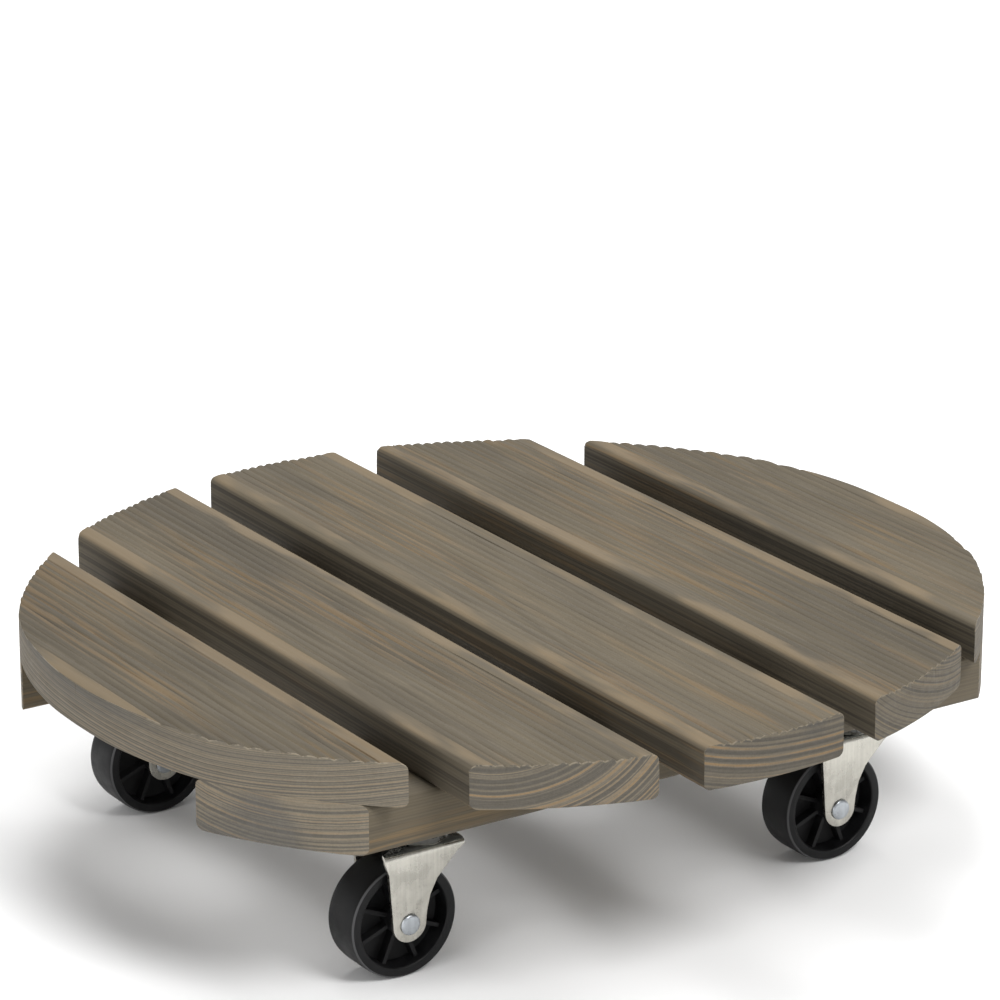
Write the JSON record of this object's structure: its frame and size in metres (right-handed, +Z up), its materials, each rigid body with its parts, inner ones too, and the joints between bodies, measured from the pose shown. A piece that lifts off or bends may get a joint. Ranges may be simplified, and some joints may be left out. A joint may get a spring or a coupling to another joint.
{
  "type": "plant pot caddy",
  "caption": "Round slatted wooden pot caddy with ribbed boards on two battens and swivel casters with spoked plastic wheels.",
  "frame": {"origin": "on the floor under the middle of the deck", "axes": "+Z up, boards run along X, battens run along Y"},
  "size_m": [0.4, 0.42, 0.111],
  "materials": {
    "board_wood": "grey-brown stained, matte",
    "batten_wood": "grey-brown stained, matte",
    "screw_steel": "zinc plated",
    "plate_zinc": "zinc plated, satin",
    "ball_steel": "polished",
    "fork_zinc": "zinc plated, satin",
    "axle_steel": "zinc plated",
    "wheel_plastic": "moulded black plastic"
  },
  "bodies": {
    "deck": {"slat_1": "board_wood", "slat_2": "board_wood", "slat_3": "board_wood", "slat_4": "board_wood", "slat_5": "board_wood", "batten_front": "batten_wood", "batten_rear": "batten_wood", "deck_screws": "screw_steel", "plate_screws": "screw_steel", "plate_1": "plate_zinc", "plate_2": "plate_zinc", "plate_3": "plate_zinc", "plate_4": "plate_zinc", "kingpin_1": "plate_zinc", "kingpin_2": "plate_zinc", "kingpin_3": "plate_zinc", "kingpin_4": "plate_zinc"},
    "swivel_1": {"fork_1": "fork_zinc", "axle_1": "axle_steel", "balls_1": "ball_steel"},
    "roller_1": {"wheel_1": "wheel_plastic"},
    "swivel_2": {"fork_2": "fork_zinc", "axle_2": "axle_steel", "balls_2": "ball_steel"},
    "roller_2": {"wheel_2": "wheel_plastic"},
    "swivel_3": {"fork_3": "fork_zinc", "axle_3": "axle_steel", "balls_3": "ball_steel"},
    "roller_3": {"wheel_3": "wheel_plastic"},
    "swivel_4": {"fork_4": "fork_zinc", "axle_4": "axle_steel", "balls_4": "ball_steel"},
    "roller_4": {"wheel_4": "wheel_plastic"}
  },
  "joints": [
    {"name": "caster_swivel_1", "type": "hinge", "parent": "deck", "child": "swivel_1", "pos_m": [0.102, -0.109, 0.0572], "axis": [0, 0, 1], "continuous": true},
    {"name": "wheel_spin_1", "type": "hinge", "parent": "swivel_1", "child": "roller_1", "pos_m": [0.102, -0.1215, 0.025], "axis": [1, 0, 0], "continuous": true},
    {"name": "caster_swivel_2", "type": "hinge", "parent": "deck", "child": "swivel_2", "pos_m": [0.102, 0.109, 0.0572], "axis": [0, 0, 1], "continuous": true},
    {"name": "wheel_spin_2", "type": "hinge", "parent": "swivel_2", "child": "roller_2", "pos_m": [0.102, 0.0965, 0.025], "axis": [1, 0, 0], "continuous": true},
    {"name": "caster_swivel_3", "type": "hinge", "parent": "deck", "child": "swivel_3", "pos_m": [-0.102, -0.109, 0.0572], "axis": [0, 0, 1], "continuous": true},
    {"name": "wheel_spin_3", "type": "hinge", "parent": "swivel_3", "child": "roller_3", "pos_m": [-0.102, -0.1215, 0.025], "axis": [1, 0, 0], "continuous": true},
    {"name": "caster_swivel_4", "type": "hinge", "parent": "deck", "child": "swivel_4", "pos_m": [-0.102, 0.109, 0.0572], "axis": [0, 0, 1], "continuous": true},
    {"name": "wheel_spin_4", "type": "hinge", "parent": "swivel_4", "child": "roller_4", "pos_m": [-0.102, 0.0965, 0.025], "axis": [1, 0, 0], "continuous": true}
  ]
}
